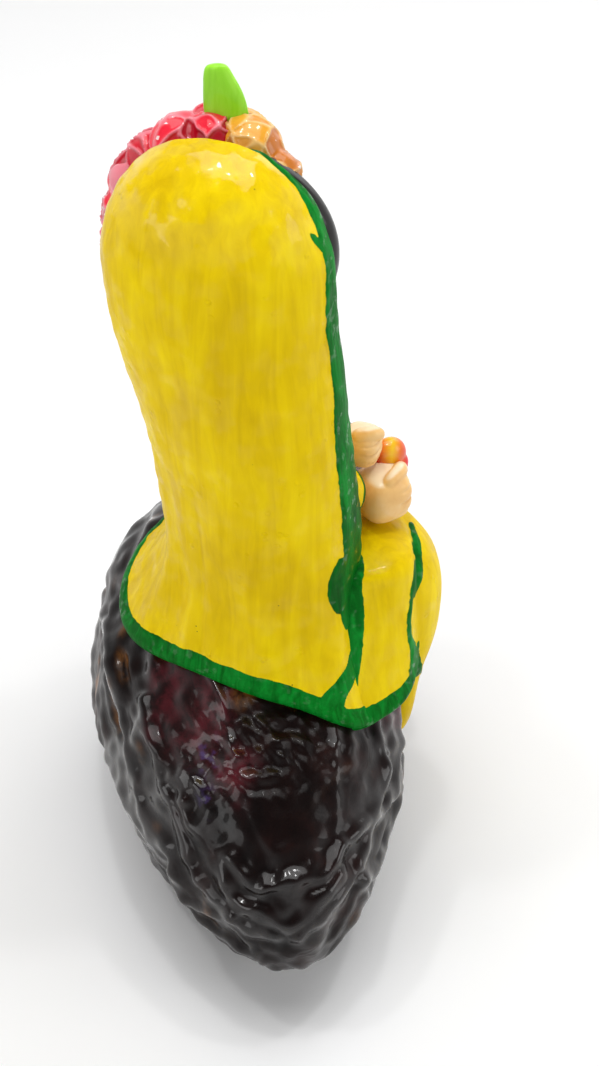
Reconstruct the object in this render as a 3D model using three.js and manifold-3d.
// A hand-painted cast couple seated on a dark lacquered pod.
// Millimetres, +Z up. The pod's long axis is X and the couple faces -Y.
import * as THREE from 'three';
import { mergeVertices } from 'three/addons/utils/BufferGeometryUtils.js';
import Module from 'manifold-3d';

const wasm = await Module();
wasm.setup();

// Driving dimensions

const degrees = THREE.MathUtils.degToRad;

const pod = {
  halfLength: 49.4,
  halfWidth: 27,
  halfHeight: 28.2,
  centreHeight: 25.2,
  taper: 0.14,
  dip: 0.025,
  pitch: degrees(8.5),
  ridges: 9,
  ridgeDepth: 0.045,
  ridgeAllowance: 1,
};
const seamGap = 0.35;

const woman = {
  centreX: -3,
  waistHeight: 67,
  hoodHeight: 119,
  crownHeight: 137.4,
  halfWidth: 16.5,
  halfDepth: 13,
  hoodTurn: degrees(-25),
  faceTurn: degrees(-38),
  bodyTurn: degrees(-52),
  borderTurn: degrees(-114),
  hemRadius: 21.3,
  hemThickness: 1.5,
  headHeight: 117.5,
  headSize: 11.3,
  leafTop: 144.4,
};

const man = {
  x: 22,
  y: 1.5,
  hipHeight: 60,
  kneeHeight: 57,
  shoulderHeight: 93,
  headHeight: 106.5,
  headSize: 9.8,
  headTurn: degrees(-112),
  hatBrim: 13.4,
  hatHeight: 10.5,
};

// Solids

function solid(geometry) {
  geometry.deleteAttribute('normal');
  geometry.deleteAttribute('uv');
  const merged = mergeVertices(geometry, 1e-4);
  return new wasm.Manifold(new wasm.Mesh({
    numProp: 3,
    vertProperties: new Float32Array(merged.attributes.position.array),
    triVerts: new Uint32Array(merged.index.array),
  }));
}

// A sphere's grid bent into a closed skin: rows climb from 0, and the angle turns round the form
function skin(around, rows, place) {
  const geometry = new THREE.SphereGeometry(1, around, rows);
  const position = geometry.attributes.position;
  for (let i = 0; i < position.count; i++) {
    const row = rows - Math.floor(i / (around + 1));
    const column = (i % (around + 1)) % around;
    const point = place(row, (2 * Math.PI * column) / around);
    position.setXYZ(i, point.x, point.y, point.z);
  }
  return solid(geometry);
}

// A rounded limb along a smooth path; each station has its place, half-width and flatness
function limb(stations, { around = 8, rows = 7, side = [1, 0, 0], fullness = 4, fold = () => 1 } = {}) {
  const path = new THREE.CatmullRomCurve3(stations.map(({ at }) => new THREE.Vector3(...at)));
  const sizes = stations.map(({ r, flat = 1 }) => new THREE.Vector3(r, r * flat, 0));
  const across = new THREE.CatmullRomCurve3(sizes);
  const reference = new THREE.Vector3(...side);
  return skin(around, rows, (row, angle) => {
    const along = (1 - Math.cos((Math.PI * row) / rows)) / 2;
    const size = across.getPoint(along);
    const cap = fold(angle, along) * Math.sqrt(Math.max(0, 1 - Math.abs(2 * along - 1) ** fullness));
    const tangent = path.getTangent(along);
    const normal = reference.clone().addScaledVector(tangent, -reference.dot(tangent)).normalize();
    const binormal = tangent.clone().cross(normal);
    return path.getPoint(along)
      .addScaledVector(normal, Math.cos(angle) * size.x * cap)
      .addScaledVector(binormal, Math.sin(angle) * size.y * cap);
  });
}

// An egg-shaped lump, turned about the vertical, with grooves where asked
function lump(at, radii, { around = 9, rows = 6, turn = 0, grooves = 0, grooveDepth = 0 } = {}) {
  const spin = new THREE.Euler(0, 0, turn);
  return skin(around, rows, (row, angle) => {
    const polar = Math.PI * (row / rows - 0.5);
    const groove = 1 - grooveDepth * Math.sin(grooves * polar) ** 2;
    return new THREE.Vector3(
      radii[0] * Math.cos(polar) * Math.cos(angle) * groove,
      radii[1] * Math.cos(polar) * Math.sin(angle) * groove,
      radii[2] * Math.sin(polar),
    ).applyEuler(spin).add(new THREE.Vector3(...at));
  });
}

function join(parts) {
  return parts.reduce((whole, part) => whole.add(part));
}

const direction = (angle) => new THREE.Vector2(Math.cos(angle), Math.sin(angle));
const bump = (value, centre, width) => Math.exp(-(((value - centre) / width) ** 2));
const turnBump = (angle, centre, width) => (
  bump(Math.atan2(Math.sin(angle - centre), Math.cos(angle - centre)), 0, width)
);

// A place given by steps forward, to the left and up from a point, for a body facing one way
function facing(origin, turn) {
  const ahead = direction(turn);
  return (forward, left, up) => [
    origin[0] + forward * ahead.x - left * ahead.y,
    origin[1] + forward * ahead.y + left * ahead.x,
    origin[2] + up,
  ];
}

// Pod

function podRidge(angle, along) {
  const sway = 0.5 * Math.sin(3.2 * along + 0.6) + 0.3 * Math.sin(2 * angle + 2 * along);
  const rib = 1 - Math.abs(Math.sin((pod.ridges * angle) / 2 + sway));
  const lumps = Math.sin(8 * along + 3 * angle) + Math.sin(15 * along - 2 * angle + 1);
  const fade = Math.sqrt(1 - along * along);
  return pod.ridgeDepth * (rib - 0.36 + 0.22 * lumps) * fade;
}

function podSwell(along) {
  return 1 + pod.taper * along - pod.dip * bump(along, -0.62, 0.28);
}

function podSkin(grow) {
  const rows = 23;
  const cos = Math.cos(pod.pitch);
  const sin = Math.sin(pod.pitch);
  return skin(42, rows, (row, angle) => {
    const along = -Math.cos((Math.PI * row) / rows);
    const ring = Math.sqrt(Math.max(0, 1 - along * along));
    const swell = podSwell(along) * (1 + podRidge(angle, along)) * ring;
    const x = (pod.halfLength + grow) * along;
    const y = (pod.halfWidth * swell + grow * ring) * Math.cos(angle);
    const z = (pod.halfHeight * swell + grow * ring) * Math.sin(angle);
    return new THREE.Vector3(x * cos - z * sin, y, x * sin + z * cos + pod.centreHeight);
  });
}

function podSolid() {
  const floor = new THREE.BoxGeometry(200, 200, 100).translate(0, 0, -50);
  return podSkin(0).subtract(solid(floor));
}

// Height of the pod's top at a place in plan, with its ridges as an even allowance
function seatHeight(x, y) {
  const cos = Math.cos(pod.pitch);
  const sin = Math.sin(pod.pitch);
  let low = pod.centreHeight;
  let high = pod.centreHeight + 1.3 * pod.halfHeight;
  for (let i = 0; i < 20; i++) {
    const middle = (low + high) / 2;
    const up = middle - pod.centreHeight;
    const along = (x * cos + up * sin) / pod.halfLength;
    const lift = (up * cos - x * sin) / (pod.halfHeight + pod.ridgeAllowance);
    const aside = y / (pod.halfWidth + pod.ridgeAllowance);
    const inside = along ** 2 + (aside ** 2 + lift ** 2) / podSwell(along) ** 2 < 1;
    low = inside ? middle : low;
    high = inside ? high : middle;
  }
  return low;
}

// Woman's mantle, from its hem on the pod up over her head

function mantleCentre(height) {
  const lean = THREE.MathUtils.smoothstep(height, woman.waistHeight, 122);
  return new THREE.Vector2(woman.centreX, -2.2 + 5.4 * lean);
}

function mantleTurn(height) {
  const twist = THREE.MathUtils.smoothstep(height, 92, 116);
  return THREE.MathUtils.lerp(woman.bodyTurn, woman.hoodTurn, twist);
}

// Distance from the mantle's middle to its skin: an oval cut off flat at its open front
function mantleRadius(height, angle) {
  const power = 2.2;
  const turn = mantleTurn(height);
  const forward = Math.cos(angle - turn);
  const sideways = Math.sin(angle - turn);
  const width = woman.halfWidth + 0.4 * bump(height, 92, 14);
  const sum = (Math.abs(forward) / woman.halfDepth) ** power + (Math.abs(sideways) / width) ** power;
  const oval = sum ** (-1 / power);
  const opening = width * Math.cos(woman.borderTurn - turn) + 0.5;
  return forward > 0.05 ? Math.min(oval, opening / forward) : oval;
}

function hemReach(angle) {
  const swing = 3.4 * Math.cos(2 * (angle - degrees(47)));
  return woman.hemRadius + swing + 2 * turnBump(angle, degrees(-153), 0.22);
}

function mantle() {
  const around = 36;
  const hemRows = 5;
  const flareRows = 5;
  const bodyRows = 6;
  const domeRows = 6;
  const hemCentre = new THREE.Vector2(1, -2);
  const flareTop = woman.waistHeight + 1;
  const upright = (place, height) => new THREE.Vector3(place.x, place.y, height);

  // The hem's section, as a step outwards from its middle and a lift above the pod
  const hemSection = (row, reach) => [
    [0, -14],
    [0.6 * reach, -5],
    [reach - 1.4, -1.4],
    [reach - 0.1, -0.3],
    [reach, 0.6],
    [reach - 0.9, woman.hemThickness],
  ][row];

  return skin(around, hemRows + flareRows + bodyRows + domeRows, (row, angle) => {
    const outward = direction(angle);
    const reach = hemReach(angle);
    const hem = hemCentre.clone().addScaledVector(outward, reach);
    const seat = Math.max(seatHeight(hem.x, hem.y), 36);
    if (row === 0) return upright(hemCentre, 34);
    if (row <= hemRows) {
      const [step, lift] = hemSection(row, reach);
      return upright(hemCentre.clone().addScaledVector(outward, step), seat + lift);
    }
    const flareRow = row - hemRows;
    if (flareRow <= flareRows) {
      const spread = (1 - flareRow / flareRows) ** 2;
      const waist = mantleRadius(flareTop, angle);
      const fold = 0.5 * Math.sin(9 * angle) * Math.sin((Math.PI * flareRow) / flareRows);
      const radius = THREE.MathUtils.lerp(waist, reach - 0.9, spread) + fold;
      const height = THREE.MathUtils.lerp(seat + woman.hemThickness, flareTop, flareRow / flareRows);
      return upright(mantleCentre(flareTop).lerp(hemCentre, spread).addScaledVector(outward, radius), height);
    }
    const bodyRow = flareRow - flareRows;
    if (bodyRow <= bodyRows) {
      const height = THREE.MathUtils.lerp(flareTop, woman.hoodHeight, bodyRow / bodyRows);
      return upright(mantleCentre(height).addScaledVector(outward, mantleRadius(height, angle)), height);
    }
    const dome = ((Math.PI / 2) * (bodyRow - bodyRows)) / domeRows;
    const height = THREE.MathUtils.lerp(woman.hoodHeight, woman.crownHeight, Math.sin(dome));
    const radius = mantleRadius(woman.hoodHeight, angle) * Math.cos(dome) ** 0.9;
    return upright(mantleCentre(height).addScaledVector(outward, radius), height);
  });
}

// The skirt over her thighs, squared at its side, and her knees and shins under it
function lap() {
  const climbs = [0, 0.03, 0.09, 0.16, 0.4, 0.66, 0.9, 1];
  const swells = [0, 0.96, 1.04, 1, 1, 1, 0.85, 0];
  const panel = skin(20, climbs.length - 1, (row, angle) => {
    const climb = climbs[row];
    const halfX = THREE.MathUtils.lerp(15.5, 11.5, climb);
    const halfY = THREE.MathUtils.lerp(13.2, 12.6, climb);
    const power = 3.4;
    const sum = Math.abs(Math.cos(angle) / halfX) ** power + Math.abs(Math.sin(angle) / halfY) ** power;
    const corner = 4.6 * turnBump(angle, degrees(178), 0.5) * (1 - climb) ** 1.4;
    const radius = swells[row] * (sum ** (-1 / power) + corner);
    const low = row > 0 ? 38 + 3.6 * turnBump(angle, degrees(-105), 0.6) : 39;
    const height = THREE.MathUtils.lerp(low, 67, climb);
    return new THREE.Vector3(-2 + radius * Math.cos(angle), -14 + radius * Math.sin(angle), height);
  });
  const knees = limb([
    { at: [1, -15, 63], r: 9, flat: 0.6 },
    { at: [1, -23.4, 57], r: 11, flat: 0.75 },
    { at: [1, -25.4, 46], r: 10.4, flat: 0.78 },
    { at: [1, -23.8, 35], r: 9.8, flat: 0.74 },
    { at: [1, -22.6, 20], r: 10.4, flat: 0.72 },
  ], {
    around: 18,
    rows: 10,
    fullness: 9,
    fold: (angle, along) => 1 - 0.09 * along * Math.cos(3 * angle) ** 2,
  });
  const shoes = [-1, 1].map((way) => (
    lump([2 + 4 * way, -24.2, 24], [3.2, 4.6, 3], { around: 8, rows: 6 })
  ));
  return [panel, knees, ...shoes];
}

function womanBody() {
  const place = facing([woman.centreX, -0.8, 0], woman.bodyTurn);
  const across = [-direction(woman.bodyTurn).y, direction(woman.bodyTurn).x, 0];
  const torso = limb([
    { at: place(3, 0, 62), r: 12, flat: 0.85 },
    { at: place(4, 0.5, 77), r: 9.8, flat: 0.85 },
    { at: place(5, 1, 91), r: 11.4, flat: 0.8 },
    { at: place(4, 1, 101), r: 12, flat: 0.6 },
    { at: place(3, 1, 107), r: 6, flat: 0.9 },
  ], { around: 14, rows: 8, side: across, fullness: 8 });
  const knuckles = { grooves: 4, grooveDepth: 0.07 };
  const rightSleeve = limb([
    { at: [-6, -8.4, 100], r: 4.2 },
    { at: [-6, -10.2, 89], r: 4.4 },
    { at: [-4.6, -12, 78], r: 4.6 },
    { at: [-1, -16.8, 73.6], r: 4.7 },
  ], { around: 10, rows: 8, fullness: 8 });
  const rightHand = lump([0.4, -20, 71.6], [4.6, 5.2, 4.4], { ...knuckles, around: 11, rows: 8 });
  const leftSleeve = limb([
    { at: [9, 1, 100], r: 4.2 },
    { at: [10.6, -3, 90], r: 4.4 },
    { at: [8.6, -8.4, 82.6], r: 4.6 },
    { at: [5, -12, 80.6], r: 4.6 },
  ], { around: 10, rows: 8, fullness: 10 });
  const leftHand = lump([2.8, -16.8, 79.4], [3.8, 3.5, 3.6], { ...knuckles, around: 11, rows: 8 });
  const fruit = lump([5, -20.6, 76], [2.8, 2.8, 3], { around: 8, rows: 6 });
  return [torso, rightSleeve, rightHand, leftSleeve, leftHand, fruit];
}

// A calm, general face: skull, jaw, brow, nose and lips at plain proportions
function head(at, size, turn) {
  const place = facing(at, turn);
  const scaled = (...radii) => radii.map((radius) => radius * size);
  const small = { around: 8, rows: 5, turn };
  return [
    lump(at, scaled(0.9, 0.84, 1), { around: 14, rows: 10, turn }),
    lump(place(0.4 * size, 0, -0.58 * size), scaled(0.42, 0.46, 0.42), { around: 8, rows: 6, turn }),
    lump(place(0.86 * size, 0, -0.16 * size), scaled(0.17, 0.11, 0.22), small),
    lump(place(0.77 * size, 0, -0.48 * size), scaled(0.12, 0.24, 0.09), small),
    ...[-1, 1].map((way) => (
      lump(place(0.77 * size, 0.34 * way * size, 0.06 * size), scaled(0.1, 0.17, 0.1), small)
    )),
  ];
}

function womanHead() {
  const { x, y } = mantleCentre(woman.hoodHeight);
  const place = facing([x, y, 0], woman.hoodTurn);
  const face = head(place(3.6, -0.6, woman.headHeight), woman.headSize, woman.faceTurn);
  const hair = lump(place(3.4, 0, woman.headHeight + 2.6), [6.4, 15.2, 14.8], {
    around: 14,
    rows: 10,
    turn: woman.hoodTurn,
  });
  const neck = limb([
    { at: place(2, 0, woman.headHeight - 5), r: 4.6 },
    { at: place(2, 0, woman.headHeight - 18), r: 5.6 },
  ], { rows: 5 });
  return [...face, hair, neck];
}

// Headdress of fruit and petals ahead of the hood, cascading to her left, with one upright leaf
function headdress() {
  const { x, y } = mantleCentre(woman.hoodHeight);
  const place = facing([x, y, woman.hoodHeight], woman.hoodTurn);
  const fruits = [];
  for (let i = 0; i < 7; i++) {
    for (const row of [0, 1]) {
      const angle = degrees(-13 + 19.5 * i - 9 * row);
      const reach = 15 - 0.4 * Math.sin(angle) - 1.6 * row;
      const size = 4.7 - 0.5 * ((i + row) % 2);
      fruits.push(lump(
        place(7 + 4.6 * row, reach * Math.cos(angle) + 0.8, reach * Math.sin(angle)),
        [0.85 * size, size, size],
        { around: 8, rows: 5, turn: woman.hoodTurn + i },
      ));
    }
  }
  const stem = facing([...place(8, 0, 0).slice(0, 2), 0], woman.hoodTurn);
  const across = [-direction(woman.hoodTurn).y, direction(woman.hoodTurn).x, 0];
  const leaf = limb([
    { at: stem(0, 0.4, 133), r: 1.8, flat: 0.5 },
    { at: stem(0, 0.4, 138.5), r: 2.9, flat: 0.32 },
    { at: stem(0, 2.2, woman.leafTop), r: 0.9, flat: 0.6 },
  ], { around: 8, rows: 6, side: across });
  return [...fruits, leaf];
}

// Man seated beside her in a shirt, trousers and sandals, under a straw hat

function manBody() {
  const { x, y, hipHeight, kneeHeight, shoulderHeight } = man;
  const torso = limb([
    { at: [x, y, hipHeight - 6], r: 12, flat: 0.8 },
    { at: [x, y, hipHeight + 10], r: 11.2, flat: 0.76 },
    { at: [x, y, shoulderHeight - 4], r: 13.4, flat: 0.66 },
    { at: [x, y, shoulderHeight + 4], r: 9, flat: 0.7 },
  ], { around: 12, rows: 8, fullness: 6 });
  const arms = [-1, 1].map((way) => limb([
    { at: [x + 12 * way, y, shoulderHeight - 3], r: 4.8 },
    { at: [x + 14.4 * way, y - 2, hipHeight + 20], r: 4.6 },
    { at: [x + 12 * way, y - 11, hipHeight + 11], r: 4.4 },
    { at: [x + 9 * way, y - 15.5, hipHeight + 8.6], r: 4.2 },
  ], { rows: 8, fullness: 10 }));
  const hands = [-1, 1].map((way) => (
    lump([x + 7.6 * way, y - 19, hipHeight + 6.6], [3.4, 4.6, 2.6], { around: 8, rows: 5 })
  ));
  const legs = [-1, 1].map((way) => limb([
    { at: [x + 6 * way, y, hipHeight], r: 7 },
    { at: [x + 6.4 * way, -14, hipHeight], r: 6.6 },
    { at: [x + 6.4 * way, -22.5, kneeHeight - 1], r: 6.2 },
    { at: [x + 6.2 * way, -25.5, kneeHeight - 14], r: 5.2 },
    { at: [x + 6 * way, -25.8, kneeHeight - 31], r: 5 },
  ], { rows: 11, fullness: 10 }));
  const feet = [-1, 1].map((way) => limb([
    { at: [x + 6 * way, -21, 24.6], r: 4, flat: 0.8 },
    { at: [x + 6.6 * way, -33, 23.4], r: 4.2, flat: 0.6 },
  ], { around: 8, rows: 5 }));
  return [torso, ...arms, ...hands, ...legs, ...feet];
}

function manHead() {
  const { x, y, headHeight, headSize, hatBrim, hatHeight } = man;
  const profile = [
    [0, 0], [hatBrim - 0.6, 0.3], [hatBrim, 1.1], [hatBrim - 0.8, 1.8], [0.68 * hatBrim, 1.6],
    [0.62 * hatBrim, 0.66 * hatHeight], [0.46 * hatBrim, 0.94 * hatHeight], [0, hatHeight],
  ].map(([radius, height]) => new THREE.Vector2(radius, height));
  const hat = new THREE.LatheGeometry(profile, 16);
  hat.rotateX(Math.PI / 2);
  hat.translate(x, y + 0.3, headHeight + 0.42 * headSize);
  const neck = limb([
    { at: [x, y, headHeight - 4], r: 4.6 },
    { at: [x, y, headHeight - 15], r: 5.4 },
  ], { rows: 5 });
  return [...head([x, y - 0.5, headHeight], headSize, man.headTurn), neck, solid(hat)];
}

// Assembly

function named(name, form, color, roughness) {
  const mesh = form.getMesh();
  const geometry = new THREE.BufferGeometry();
  geometry.setAttribute('position', new THREE.BufferAttribute(mesh.vertProperties, 3));
  geometry.setIndex(new THREE.BufferAttribute(mesh.triVerts, 1));
  const material = new THREE.MeshStandardMaterial({ color, roughness, metalness: 0 });
  const object = new THREE.Mesh(geometry, material);
  object.name = name;
  return object;
}

const couple = join([
  mantle(),
  ...lap(),
  ...womanBody(),
  ...womanHead(),
  ...headdress(),
  ...manBody(),
  ...manHead(),
]).subtract(podSkin(seamGap));

const figurine = new THREE.Group();
figurine.add(named('pod_base', podSolid(), 0x1d0f0e, 0.2));
figurine.add(named('couple', couple, 0xe8cf1e, 0.3));

const box = new THREE.Box3().setFromObject(figurine);
figurine.position.set(-(box.min.x + box.max.x) / 2, -(box.min.y + box.max.y) / 2, -box.min.z);
figurine.updateMatrixWorld(true);

export default figurine;
